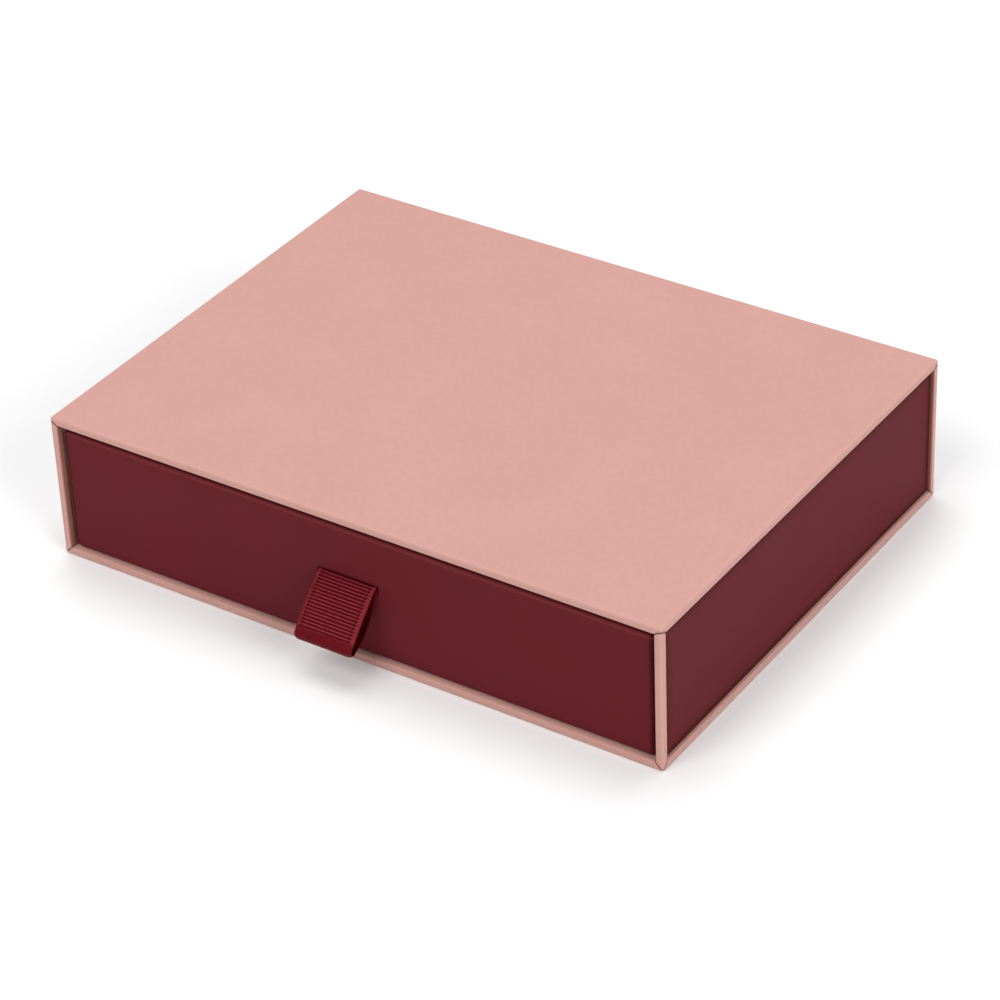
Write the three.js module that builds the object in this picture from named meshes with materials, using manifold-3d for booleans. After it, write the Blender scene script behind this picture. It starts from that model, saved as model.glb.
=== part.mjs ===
// Sliding drawer gift box: a rigid sleeve, a drawer that slides out of its long front, and a ribbon pull.
// Millimetres. +X is to the right seen from the front, +Y goes from the front to the back, +Z is up.
// The origin is the middle of the sleeve's underside, where the box rests.

import * as THREE from "three";
import { RoundedBoxGeometry } from "three/addons/geometries/RoundedBoxGeometry.js";
import { mergeVertices } from "three/addons/utils/BufferGeometryUtils.js";
import Module from "manifold-3d";

const wasm = await Module();
wasm.setup();

// Driving dimensions of the sleeve
const sleeveLength = 200;
const sleeveDepth = 151;
const sleeveHeight = 46;
const sleeveBoard = 2;
const paper = 0.2;
const sleeveEdgeRadius = 0.8;
const wallRecess = 0.9;
const sleeveTurnIn = 15;
const mitreSeam = 0.1;
const liningSeam = 0.3;

// Driving dimensions of the drawer and of the gaps that it runs in
const drawerBoard = 1.5;
const drawerRecess = 1.2;
const sideGap = 0.8;
const topGap = 1.5;
const runningGap = 0.3;
const backGap = 0.8;
const drawerEdgeRadius = 1.6;
const drawerTurnIn = 12;
const stayTape = 0.12;
const stayWing = 16;
const stayEndGap = 4;
const liningFoot = 10;
const floorLiningGap = 2;

// Driving dimensions of the ribbon pull
const ribbonWidth = 19;
const ribbonThickness = 0.5;
const slotHeightShare = 0.575;
const slotHeight = 1.8;
const slotEndGap = 0.35;
const legSpacing = 0.7;
const loopReach = 13;
const loopDrop = 14.6;
const loopStandOff = 0.8;
const foldRadius = 1.6;
const loopTilt = THREE.MathUtils.degToRad(52);
const tailLength = 14;
const glueLine = 0.05;

// How finely round edges and curves are divided, and how far a cut runs past what it cuts
const edgeSteps = 3;
const curveSteps = 12;
const overrun = 1;

// The wrapped board is as thick as the frame that the sleeve's edges draw round each upright face
const frameWidth = sleeveBoard + 2 * paper;

const sleeve = {
  x: [-sleeveLength / 2, sleeveLength / 2],
  y: [-sleeveDepth / 2, sleeveDepth / 2],
  z: [0, sleeveHeight],
};

const drawer = {
  x: inset(sleeve.x, frameWidth + sideGap),
  y: [sleeve.y[0] + drawerRecess, sleeve.y[1] - frameWidth - backGap],
  z: [frameWidth + runningGap, sleeveHeight - frameWidth - topGap],
};

// Depths of the drawer's layers, counted inwards from its outside
const drawerWall = paper + drawerBoard;
const drawerLined = drawerWall + paper;
const drawerFloor = drawer.z[0] + drawerWall;
const drawerTurnInEnd = drawer.z[1] - drawerTurnIn;
const slotCentre = drawer.z[0] + slotHeightShare * (drawer.z[1] - drawer.z[0]);

const pinkPaper = new THREE.MeshStandardMaterial({ color: "#dca9a1", roughness: 0.62, metalness: 0 });
const burgundyPaper = new THREE.MeshStandardMaterial({ color: "#5f262b", roughness: 0.55, metalness: 0 });
const greyboard = new THREE.MeshStandardMaterial({ color: "#9d958a", roughness: 0.9, metalness: 0 });
const kraftTape = new THREE.MeshStandardMaterial({ color: "#b48a5e", roughness: 0.8, metalness: 0 });
const grosgrain = new THREE.MeshStandardMaterial({ color: "#6e2027", roughness: 0.7, metalness: 0 });

// A range of places along one axis, drawn in at both ends
function inset(range, by) {
  return [range[0] + by, range[1] - by];
}

function insetBox(box, by) {
  return { x: inset(box.x, by), y: inset(box.y, by), z: inset(box.z, by) };
}

function solidFrom(geometry) {
  geometry.deleteAttribute("normal");
  geometry.deleteAttribute("uv");
  const merged = mergeVertices(geometry);
  const mesh = new wasm.Mesh({
    numProp: 3,
    vertProperties: merged.attributes.position.array,
    triVerts: new Uint32Array(merged.index.array),
  });
  return new wasm.Manifold(mesh);
}

// A unit box with its corners set to the ranges' ends, so that blocks which share a face are rounded alike
function block({ x, y, z }) {
  const box = new THREE.BoxGeometry();
  const corners = box.attributes.position;
  const end = (range, coordinate) => range[coordinate > 0 ? 1 : 0];
  for (let index = 0; index < corners.count; index += 1) {
    const corner = new THREE.Vector3().fromBufferAttribute(corners, index);
    corners.setXYZ(index, end(x, corner.x), end(y, corner.y), end(z, corner.z));
  }
  return solidFrom(box);
}

function roundedBlock({ x, y, z }, radius) {
  const box = new RoundedBoxGeometry(x[1] - x[0], y[1] - y[0], z[1] - z[0], edgeSteps, radius);
  return solidFrom(box.translate((x[0] + x[1]) / 2, (y[0] + y[1]) / 2, (z[0] + z[1]) / 2));
}

function piece(name, material, solid) {
  const { vertProperties, triVerts } = solid.getMesh();
  const geometry = new THREE.BufferGeometry();
  geometry.setAttribute("position", new THREE.BufferAttribute(vertProperties, 3));
  geometry.setIndex(new THREE.BufferAttribute(triVerts, 1));
  geometry.computeVertexNormals();
  const mesh = new THREE.Mesh(geometry, material);
  mesh.name = name;
  return mesh;
}

// The outline of a post seen from one side: a strip whose ends are mitred at 45 degrees to the sleeve's corners.
// edge is the outer face that the strip lies along, inwards is 1 or -1, and the ends can be moved along the seam.
function mitredOutline(edge, inwards, width, lengthen) {
  const outer = edge - inwards * overrun;
  const inner = edge + inwards * width;
  const outline = new THREE.Shape();
  outline.moveTo(outer, -overrun - lengthen);
  outline.lineTo(inner, width - lengthen);
  outline.lineTo(inner, sleeveHeight - width + lengthen);
  outline.lineTo(outer, sleeveHeight + overrun + lengthen);
  return outline;
}

// The space of a corner post: its front view extruded in depth, where its side view extruded across also is
function postSpace(sideX, sideY, width, lengthen) {
  const edgeX = sideX * sleeveLength / 2;
  const edgeY = sideY * sleeveDepth / 2;
  const depth = width + overrun;
  const options = { depth, bevelEnabled: false };
  const inFront = new THREE.ExtrudeGeometry(mitredOutline(edgeX, -sideX, width, lengthen), options);
  inFront.rotateX(Math.PI / 2);
  inFront.translate(0, sideY > 0 ? edgeY + overrun : edgeY + width, 0);
  const fromSide = new THREE.ExtrudeGeometry(mitredOutline(edgeY, -sideY, width, lengthen), options);
  fromSide.rotateX(Math.PI / 2);
  fromSide.rotateZ(Math.PI / 2);
  fromSide.translate(sideX > 0 ? edgeX - width : edgeX - overrun, 0, 0);
  return solidFrom(inFront).intersect(solidFrom(fromSide));
}

const postSides = [
  ["front_left", -1, -1],
  ["front_right", 1, -1],
  ["rear_left", -1, 1],
  ["rear_right", 1, 1],
];

const sleeveOutside = roundedBlock(sleeve, sleeveEdgeRadius);
const sleeveBoards = roundedBlock(insetBox(sleeve, paper), sleeveEdgeRadius - paper);

// Everything between two heights, out past the sleeve's sides
function layer(z) {
  return block({ x: inset(sleeve.x, -overrun), y: inset(sleeve.y, -overrun), z });
}

const bottomBoardTop = paper + sleeveBoard;
const topBoardUnderside = sleeveHeight - bottomBoardTop;
const bottomBoard = sleeveBoards.intersect(layer([-overrun, bottomBoardTop]));
const topBoard = sleeveBoards.intersect(layer([topBoardUnderside, sleeveHeight + overrun]));

// One sheet over the outside and the four edges of a board, turned in on its inner face.
// Its skirt is mitred at the corners, where the post papers come up to meet it.
function wrapPaper(board, wrapZ, turnInZ) {
  const window = block({
    x: inset(sleeve.x, paper + sleeveTurnIn),
    y: inset(sleeve.y, paper + sleeveTurnIn),
    z: turnInZ,
  });
  let sheet = sleeveOutside.intersect(layer(wrapZ)).subtract(board).subtract(window);
  for (const [, sideX, sideY] of postSides) {
    sheet = sheet.subtract(postSpace(sideX, sideY, frameWidth + overrun, mitreSeam / 2));
  }
  return sheet;
}

function sleeveBoardPieces() {
  const bottomWrapZ = [-overrun, frameWidth];
  const topWrapZ = [sleeveHeight - frameWidth, sleeveHeight + overrun];
  const bottomTurnInZ = [bottomBoardTop, frameWidth];
  const topTurnInZ = [sleeveHeight - frameWidth, topBoardUnderside];
  const liningX = inset(sleeve.x, paper + sleeveTurnIn + liningSeam);
  const liningY = inset(sleeve.y, paper + sleeveTurnIn + liningSeam);
  return [
    piece("sleeve_bottom_board", greyboard, bottomBoard),
    piece("sleeve_top_board", greyboard, topBoard),
    piece("sleeve_bottom_paper", pinkPaper, wrapPaper(bottomBoard, bottomWrapZ, bottomTurnInZ)),
    piece("sleeve_top_paper", pinkPaper, wrapPaper(topBoard, topWrapZ, topTurnInZ)),
    piece("sleeve_floor_lining", pinkPaper, block({ x: liningX, y: liningY, z: bottomTurnInZ })),
    piece("sleeve_ceiling_lining", pinkPaper, block({ x: liningX, y: liningY, z: topTurnInZ })),
  ];
}

// A corner post is a square strip of greyboard between the two boards. The paper wrapped round it
// carries on over the edges of the boards, to the mitres.
function postPieces(name, sideX, sideY) {
  const across = (edge, side) => [edge + side * overrun, edge - side * (frameWidth - paper)].sort((a, b) => a - b);
  const strip = block({
    x: across(sideX * sleeveLength / 2, sideX),
    y: across(sideY * sleeveDepth / 2, sideY),
    z: sleeve.z,
  });
  const core = strip.intersect(sleeveBoards).subtract(bottomBoard).subtract(topBoard);
  const wrap = postSpace(sideX, sideY, frameWidth, -mitreSeam / 2)
    .intersect(sleeveOutside)
    .subtract(bottomBoard)
    .subtract(topBoard)
    .subtract(core);
  return [
    piece(`sleeve_${name}_post`, greyboard, core),
    piece(`sleeve_${name}_post_paper`, pinkPaper, wrap),
  ];
}

// The box of a wall's layer that lies between two depths, counted inwards from the sleeve's outside.
// Its edges can be drawn in from the frame.
function wallLayer(side, from, to, drawnIn = 0) {
  const between = insetBox(sleeve, frameWidth + drawnIn);
  const places = {
    left: { x: [sleeve.x[0] + from, sleeve.x[0] + to] },
    right: { x: [sleeve.x[1] - to, sleeve.x[1] - from] },
    back: { y: [sleeve.y[1] - to, sleeve.y[1] - from] },
  };
  return { ...between, ...places[side] };
}

// A wall is a board with paper over its outer face and round its four edges, and a lining on its inner face
function wallPieces(side) {
  const boardFrom = wallRecess + paper;
  const boardTo = frameWidth - paper;
  const behindFace = block(wallLayer(side, boardFrom, boardTo + overrun, paper));
  return [
    piece(`sleeve_${side}_wall_board`, greyboard, block(wallLayer(side, boardFrom, boardTo, paper))),
    piece(`sleeve_${side}_wall_paper`, burgundyPaper, block(wallLayer(side, wallRecess, boardTo)).subtract(behindFace)),
    piece(`sleeve_${side}_wall_lining`, pinkPaper, block(wallLayer(side, boardTo, frameWidth))),
  ];
}

const drawerOutside = roundedBlock(drawer, drawerEdgeRadius);
const drawerBoards = roundedBlock(insetBox(drawer, paper), drawerEdgeRadius - paper);

// The inside of the drawer, drawn in from its outside, above a height and out past its rim
function drawerHollow(by, from, to = drawer.z[1] + overrun) {
  return block({ x: inset(drawer.x, by), y: inset(drawer.y, by), z: [from, to] });
}

const ribbonSlot = block({
  x: [-ribbonWidth / 2 - slotEndGap, ribbonWidth / 2 + slotEndGap],
  y: [drawer.y[0] - overrun, drawer.y[0] + drawerWall],
  z: [slotCentre - slotHeight / 2, slotCentre + slotHeight / 2],
});

// Kraft tape bent round each upright corner of the boards, pressed into them under the wrap
function cornerStay(sideX, sideY) {
  const cornerX = drawer.x[sideX > 0 ? 1 : 0];
  const cornerY = drawer.y[sideY > 0 ? 1 : 0];
  const wings = block({
    x: [cornerX - stayWing, cornerX + stayWing],
    y: [cornerY - stayWing, cornerY + stayWing],
    z: inset(drawer.z, stayEndGap),
  });
  const under = roundedBlock(insetBox(drawer, paper + stayTape), drawerEdgeRadius - paper - stayTape);
  return drawerBoards.intersect(wings).subtract(under);
}

function drawerBoardPieces() {
  const stays = postSides.map(([name, sideX, sideY]) => [name, cornerStay(sideX, sideY)]);
  const wide = { x: inset(drawer.x, -overrun), y: inset(drawer.y, -overrun) };
  const walls = [drawerFloor, drawer.z[1] + overrun];
  const acrossY = inset(drawer.y, drawerWall);
  const spaces = {
    bottom: { ...wide, z: [drawer.z[0] - overrun, drawerFloor] },
    front: { x: wide.x, y: [wide.y[0], acrossY[0]], z: walls },
    back: { x: wide.x, y: [acrossY[1], wide.y[1]], z: walls },
    left: { x: [wide.x[0], drawer.x[0] + drawerWall], y: acrossY, z: walls },
    right: { x: [drawer.x[1] - drawerWall, wide.x[1]], y: acrossY, z: walls },
  };
  const boards = Object.entries(spaces).map(([name, space]) => {
    let board = drawerBoards.intersect(block(space)).subtract(ribbonSlot);
    for (const [, stay] of stays) {
      board = board.subtract(stay);
    }
    return piece(`drawer_${name}_board`, greyboard, board);
  });
  return [...boards, ...stays.map(([name, stay]) => piece(`drawer_${name}_stay`, kraftTape, stay))];
}

// One sheet under the floor, up the outside of the walls, over the rim and down inside as far as the turn-in
function drawerWrap() {
  const boards = drawerBoards.subtract(drawerHollow(drawerWall, drawerFloor));
  return drawerOutside
    .subtract(boards)
    .subtract(drawerHollow(drawerLined, drawerTurnInEnd))
    .subtract(drawerHollow(drawerWall, drawerFloor, drawerTurnInEnd))
    .subtract(ribbonSlot);
}

// The wall lining runs up to the turn-in, and has a foot on the floor that the floor lining covers.
// It bulges over the ribbon tails that are glued behind the front.
function drawerLiningPieces() {
  const footTop = drawerFloor + paper;
  const wallTo = drawerTurnInEnd - liningSeam;
  const pocketDepth = 2 * (ribbonThickness + glueLine);
  const pocketX = [-ribbonWidth / 2 - slotEndGap, ribbonWidth / 2 + slotEndGap];
  const pocketFrom = drawer.y[0] + drawerWall;
  const pocketZ = [slotCentre - slotHeight / 2 - tailLength, slotCentre + slotHeight / 2];
  const bulge = block({
    x: inset(pocketX, -paper),
    y: [pocketFrom, pocketFrom + pocketDepth + paper],
    z: inset(pocketZ, -paper),
  });
  const pocket = block({ x: pocketX, y: [pocketFrom, pocketFrom + pocketDepth], z: pocketZ });
  const walls = drawerHollow(drawerWall, drawerFloor, wallTo)
    .subtract(drawerHollow(drawerLined, footTop, wallTo + overrun))
    .subtract(drawerHollow(drawerWall + liningFoot, drawerFloor - overrun))
    .add(bulge)
    .subtract(pocket);
  const floor = drawerHollow(drawerWall + liningFoot, drawerFloor, footTop + paper)
    .add(drawerHollow(drawerWall + floorLiningGap, footTop, footTop + paper));
  return [
    piece("drawer_wall_lining", burgundyPaper, walls),
    piece("drawer_floor_lining", burgundyPaper, floor),
  ];
}

// A strip of ribbon seen from its edge. The path runs in the drawer's side view, out from the drawer front
// along its first axis and up along its second, with its zero in the middle of the slot's mouth.
function ribbonStrip(path) {
  const outside = [];
  const inside = [];
  for (const curve of path.curves) {
    const steps = curve.isLineCurve ? 1 : curveSteps;
    const first = curve === path.curves[0] ? 0 : 1;
    for (let step = first; step <= steps; step += 1) {
      const point = curve.getPoint(step / steps);
      const along = curve.getTangent(step / steps);
      const across = new THREE.Vector2(-along.y, along.x).multiplyScalar(ribbonThickness / 2);
      outside.push(point.clone().add(across));
      inside.unshift(point.clone().sub(across));
    }
  }
  const strip = new THREE.ExtrudeGeometry(new THREE.Shape([...outside, ...inside]), {
    depth: ribbonWidth,
    bevelEnabled: false,
  });
  strip.rotateX(Math.PI / 2);
  strip.rotateZ(-Math.PI / 2);
  strip.translate(ribbonWidth / 2, drawer.y[0], slotCentre);
  return solidFrom(strip);
}

// The loop leaves the slot as two legs, hangs out and down, and folds back on itself in a round fold
function pullLoop() {
  const along = new THREE.Vector2(Math.cos(loopTilt), -Math.sin(loopTilt));
  const across = new THREE.Vector2(-along.y, along.x);
  const fold = new THREE.Vector2(loopReach, -loopDrop).addScaledVector(along, -foldRadius);
  const upper = fold.clone().addScaledVector(across, foldRadius);
  const lower = fold.clone().addScaledVector(across, -foldRadius);
  const leaveShare = 0.2;
  const arriveShare = 0.45;
  const bellyShare = 0.42;
  const foldAngle = Math.PI / 2 - loopTilt;
  const path = new THREE.Path();
  path.moveTo(loopStandOff, legSpacing / 2);
  path.bezierCurveTo(
    loopStandOff + leaveShare * loopReach, legSpacing / 2 - leaveShare * foldRadius,
    upper.x - arriveShare * loopReach * along.x, upper.y - arriveShare * loopReach * along.y,
    upper.x, upper.y,
  );
  path.absarc(fold.x, fold.y, foldRadius, foldAngle, foldAngle - Math.PI, true);
  path.bezierCurveTo(
    lower.x - arriveShare * loopReach * along.x, lower.y - arriveShare * loopReach * along.y,
    loopStandOff, -legSpacing / 2 - bellyShare * loopDrop,
    loopStandOff, -legSpacing / 2,
  );
  return ribbonStrip(path);
}

// A tail goes in through the slot, bends down behind the board and lies flat on it, or on the tail before it
function ribbonTail(height, layersUnder) {
  const lie = -drawerWall - layersUnder * (ribbonThickness + glueLine) - ribbonThickness / 2;
  const bend = height + slotHeight / 2 - layersUnder * legSpacing / 2;
  const path = new THREE.Path();
  path.moveTo(0, height);
  path.lineTo(lie + bend, height);
  path.absarc(lie + bend, height - bend, bend, Math.PI / 2, Math.PI, false);
  path.lineTo(lie, -slotHeight / 2 - tailLength + glueLine);
  return ribbonStrip(path);
}

const giftBox = new THREE.Group();
giftBox.add(...sleeveBoardPieces());
for (const [name, sideX, sideY] of postSides) {
  giftBox.add(...postPieces(name, sideX, sideY));
}
for (const side of ["left", "right", "back"]) {
  giftBox.add(...wallPieces(side));
}
giftBox.add(...drawerBoardPieces());
giftBox.add(piece("drawer_outer_paper", burgundyPaper, drawerWrap()));
giftBox.add(...drawerLiningPieces());
giftBox.add(piece("ribbon_lower_tail", grosgrain, ribbonTail(-legSpacing / 2, 0)));
giftBox.add(piece("ribbon_upper_tail", grosgrain, ribbonTail(legSpacing / 2, 1)));
giftBox.add(piece("ribbon_pull_loop", grosgrain, pullLoop()));

export default giftBox;
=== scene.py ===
# The looks of the sliding drawer gift box: papers with their folds and seams, a woven ribbon and the light.
# Metres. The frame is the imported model's: +X to the right, +Y to the back, +Z up, the box stands on z = 0.

import math

import bmesh
import bpy
from mathutils import Matrix, Vector, noise


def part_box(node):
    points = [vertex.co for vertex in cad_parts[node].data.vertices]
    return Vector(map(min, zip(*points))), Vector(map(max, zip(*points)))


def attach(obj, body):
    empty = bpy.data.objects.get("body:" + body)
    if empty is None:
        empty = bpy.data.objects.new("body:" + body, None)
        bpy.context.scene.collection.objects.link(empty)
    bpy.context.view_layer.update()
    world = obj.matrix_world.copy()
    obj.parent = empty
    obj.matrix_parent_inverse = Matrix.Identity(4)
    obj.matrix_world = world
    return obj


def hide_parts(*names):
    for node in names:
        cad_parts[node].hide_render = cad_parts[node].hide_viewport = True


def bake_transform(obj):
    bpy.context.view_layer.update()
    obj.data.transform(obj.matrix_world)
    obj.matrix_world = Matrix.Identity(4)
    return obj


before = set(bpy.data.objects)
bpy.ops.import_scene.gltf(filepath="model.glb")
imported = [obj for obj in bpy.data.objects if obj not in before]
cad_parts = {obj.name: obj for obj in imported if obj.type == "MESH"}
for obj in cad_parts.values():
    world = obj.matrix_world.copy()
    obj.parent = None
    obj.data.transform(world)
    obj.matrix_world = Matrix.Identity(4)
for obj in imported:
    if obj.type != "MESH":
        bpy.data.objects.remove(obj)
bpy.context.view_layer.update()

MM = 0.001
PAPER = 0.2 * MM

# The sleeve's frame and how its papers are folded
SLEEVE_RADIUS = 0.8 * MM
FRAME_WIDTH = 2.4 * MM
LIP_RADIUS = 0.45 * MM
SLEEVE_TURN_IN = 15.2 * MM
TURN_IN_GAP = 0.16 * MM
WALL_RECESS = 0.9 * MM
WALL_RADIUS = 0.5 * MM
WALL_GAP = 0.15 * MM

# The seams between the sheets over the boards and the strips round the posts. A seam curves: it lies near
# the corner's diagonal, and starts TOP_SEAM_DROP under the lid's face
MITRE_GAP = 0.05 * MM
SEAM_DIP = 0.14 * MM
SEAM_REACH = 0.7 * MM
SEAM_FALLOFF = 3
SEAM_POWER = 4
TOP_SEAM_DROP = 1.3 * MM

# How much painted shade the papers get under the lips, at the drawer's corners, at the lining's edge and
# round the walls, and below 0 how much painted highlight on the drawer's rim. 1 is as dark as a seam
LID_LIP_SHADE = 0.85
BASE_LIP_SHADE = 0
POST_LIP_SHADE = 0.5
RIM_PAINTED_HIGHLIGHT = -0.7
CORNER_SHADE = 0.4
# From this share of the turn on, a corner has its full painted shade
CORNER_SHARE = 0.4
LINING_EDGE_SHADE = 0.3
# How far in from a wall's edges its paper gets how much painted shade, next to the frame
WALL_SHADES = ((4.5 * MM, 0), (3 * MM, 0.07), (1.9 * MM, 0.2), (1.2 * MM, 0.5))

# The drawer's layers, counted inwards from its outside
DRAWER_RADIUS = 1.6 * MM
DRAWER_WALL = 1.7 * MM
DRAWER_LINED = 1.9 * MM
RIM_RADIUS = 0.3 * MM
DRAWER_TURN_IN = 12 * MM
LINING_SEAM = 0.08 * MM
LINING_FOOT = 10 * MM
BULGE_DEPTH = 1.1 * MM
BULGE_SHOULDER = 3 * MM
# The drawer's front is this one of its sides, counted from the back
FRONT_SIDE = 2

# How many steps the sheets' points take round an edge, and up and along the lining at its bulge
SLEEVE_STEPS = 4
WALL_STEPS = 3
DRAWER_STEPS = 5
LIP_STEPS = 5
RIM_STEPS = 4
BULGE_ROWS = 24
BULGE_COLUMNS = 16
# Where the first row of points lies beside a rounded edge, in shares of its radius
NEAR_ROW_SHARE = 1.3
LIP_ROW_SHARE = 1.5
POST_ROW_SHARE = 1.1
# Where rows of points lie on the frame's narrow face, in shares of its flat part
SKIRT_SHARES = (0.25, 0.44, 0.46, 0.5, 0.6, 0.8)
# Where rows and columns of points lie round the ribbon's slot, in thicknesses of the paper
SLOT_ROWS = (6, 3, 2, 1)

# How far the paper is pressed in round the slot
SLOT_PRESS = 0.6 * PAPER
SLOT_PRESS_REACH = 3 * PAPER

# How the drawer's paper is folded into the ribbon's slot: how much narrower than the slot its two faces
# get, how deep its visible face lies, and how deep its hidden face lies
SLOT_FOLD = (
    (0, 0.6 * PAPER, PAPER),
    (0.6 * PAPER, 0.9 * PAPER, 1.2 * PAPER),
    (0.75 * PAPER, 1.3 * PAPER, 1.5 * PAPER),
    (0.75 * PAPER, 8 * PAPER, 8 * PAPER),
)

# The ribbon's slot, its strip and its way. Places on the way are (outwards, up) from the slot's mouth.
# The lower leg is drawn towards its belly and then its rise, and the upper leg towards its crest
SLOT_HEIGHT_SHARE = 0.575
SLOT_HEIGHT = 1.8 * MM
SLOT_END_GAP = 0.35 * MM
RIBBON_WIDTH = 19 * MM
RIBBON_THICKNESS = 0.5 * MM
TAIL_LENGTH = 14 * MM
GLUE_LINE = 0.05 * MM
LEG_SPACING = 0.7 * MM
LOOP_REACH = 13 * MM
LOOP_DROP = 14.6 * MM
LOOP_TILT = math.radians(52)
FOLD_RADIUS = 1.6 * MM
BELLY = (1.2 * MM, -6 * MM)
RISE = (5.2 * MM, -12.2 * MM)
CREST_ARRIVAL = 6 * MM
CREST_REACH = 1.9 * MM
CREST_RISE = 0.2 * MM
TAIL_STEPS = 8
LEG_STEPS = 60
FOLD_STEPS = 24

# The ribbon's weave
RIB_PITCH = 0.97 * MM
RIB_DEPTH = 0.16 * MM
RIB_POWER = 2
POINTS_PER_RIB = 11
BEAD_INSET = 1 * MM
BEAD_POWER = 1.8
STITCH_INSET = 1.6 * MM
STITCH_WIDTH = 0.09 * MM
STITCH_DEPTH_SHARE = 0.95
PICOT_WIDTH = 0.3 * MM
PICOT_SHARE = 0.5
PLAIN_EDGE_HEIGHT = 0.8
EDGE_ROUNDING = 0.3 * MM
EDGE_THICKNESS_SHARE = 0.35
EDGE_CURL = 0.5 * MM
CURL_WIDTH = 1.3 * MM
CURL_POWER = 1.5
CURL_START = 1 * MM
CURL_END = 4 * MM
# The weave is plain up to the first distance from the fold, and ribbed from the second on
PLAIN_BAND = 2.4 * MM
RIBBED_BAND = 3.6 * MM
FOLD_HEIGHT = 0.55
# On the inside of the loop the ribs are lower, about a lower middle, which also gives it the darker tones of
# the ribbon's painted shade
INSIDE_HEIGHT = 0.3
INSIDE_RELIEF_SHARE = 0.35
# How the threads make the strip uneven: turns per metre across and along, and how deep
WANDER_ACROSS = 180
WANDER_ALONG = 400
WANDER_DEPTH = 0.012 * MM
# Where a row across the ribbon has points: so far in from its edges, closest at the beads and the stitches,
# and at these shares of its half width
BORDER_INSETS = [
    count * MM
    for count in (0, 0.1, 0.25, 0.5, 0.75, 0.93, 1.05, 1.15, 1.25, 1.35, 1.45, 1.52, 1.58, 1.64, 1.75, 2.2)
]
MIDDLE_SHARES = (-0.7, -0.5, -0.25, 0, 0.25, 0.5, 0.7)

# Points closer than this are one point of a sheet
MERGE_DISTANCE = 0.002 * MM
SHARP_ANGLE = math.radians(50)

# The stage. Each light has the direction that it comes from, how wide it looks and how strong it is
FLOOR_HALF = 6
FLOOR_GAP = 0.05 * MM
WORLD_STRENGTH = 0.07
LIGHTS = {
    "overhead": ((-0.4, 0.66, 2.5), math.radians(56.3), 2.06),
    "front_left": ((-0.35, -1.98, 2.21), math.radians(37), 1.379),
    "right": ((2.6, -0.7, 1.3), math.radians(37), 1.601),
}
CAMERA_PLACE = (0.502895, -0.728478, 0.602120)
CAMERA_TARGET = (0.012473, -0.018419, 0.023)
CAMERA_ROLL = math.radians(-2.438)
CAMERA_LENS = 133.92
CAMERA_SENSOR = 36


def joined_box(*nodes):
    """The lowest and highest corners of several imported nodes."""
    boxes = [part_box(node) for node in nodes]
    low = Vector([min(box[0][axis] for box in boxes) for axis in range(3)])
    high = Vector([max(box[1][axis] for box in boxes) for axis in range(3)])
    return low, high


def half_sizes(low, high):
    """Half of a box's length, depth and height."""
    return [(high[axis] - low[axis]) / 2 for axis in range(3)]


SLEEVE_LOW, SLEEVE_HIGH = joined_box("sleeve_bottom_paper", "sleeve_top_paper")
SLEEVE_HALVES = half_sizes(SLEEVE_LOW, SLEEVE_HIGH)
SLEEVE_MIDDLE = (SLEEVE_LOW + SLEEVE_HIGH) / 2
DRAWER_LOW, DRAWER_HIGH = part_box("drawer_outer_paper")
DRAWER_HALVES = half_sizes(DRAWER_LOW, DRAWER_HIGH)
DRAWER_MIDDLE = (DRAWER_LOW + DRAWER_HIGH) / 2
DRAWER_HEIGHT = DRAWER_HIGH.z - DRAWER_LOW.z
SLOT_CENTRE = DRAWER_LOW.z + SLOT_HEIGHT_SHARE * DRAWER_HEIGHT


# Curves

def smooth_step(value, low, high):
    """0 below low, 1 above high and a smooth rise between them."""
    share = max(0, min(1, (value - low) / (high - low)))
    return share * share * (3 - 2 * share)


def quarter_arc(steps):
    """Angles from 0 to a quarter turn, in even steps."""
    return [math.pi / 2 * step / steps for step in range(steps + 1)]


def arc_insets(radius, steps):
    """Distances from a sharp edge whose places on the rounded edge are evenly spread, the nearest first."""
    turns = [math.pi / 4 * (1 - step / steps) for step in range(steps + 1)]
    return [radius * (1 - math.tan(turn)) for turn in turns]


def bezier(points, steps):
    """Points along a cubic curve, without its first point."""
    found = []
    for step in range(1, steps + 1):
        share = step / steps
        rest = 1 - share
        found.append(
            points[0] * rest ** 3
            + points[1] * 3 * rest ** 2 * share
            + points[2] * 3 * rest * share ** 2
            + points[3] * share ** 3
        )
    return found


def resampled(path, step):
    """Points at even steps along a path, and how far along each one is."""
    lengths = [0]
    for first, second in zip(path, path[1:]):
        lengths.append(lengths[-1] + (second - first).length)
    count = round(lengths[-1] / step)
    points = []
    part = 0
    for number in range(count + 1):
        target = lengths[-1] * number / count
        while part < len(path) - 2 and lengths[part + 1] < target:
            part += 1
        share = (target - lengths[part]) / (lengths[part + 1] - lengths[part])
        points.append((target, path[part].lerp(path[part + 1], share)))
    return points


# Meshes

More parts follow.
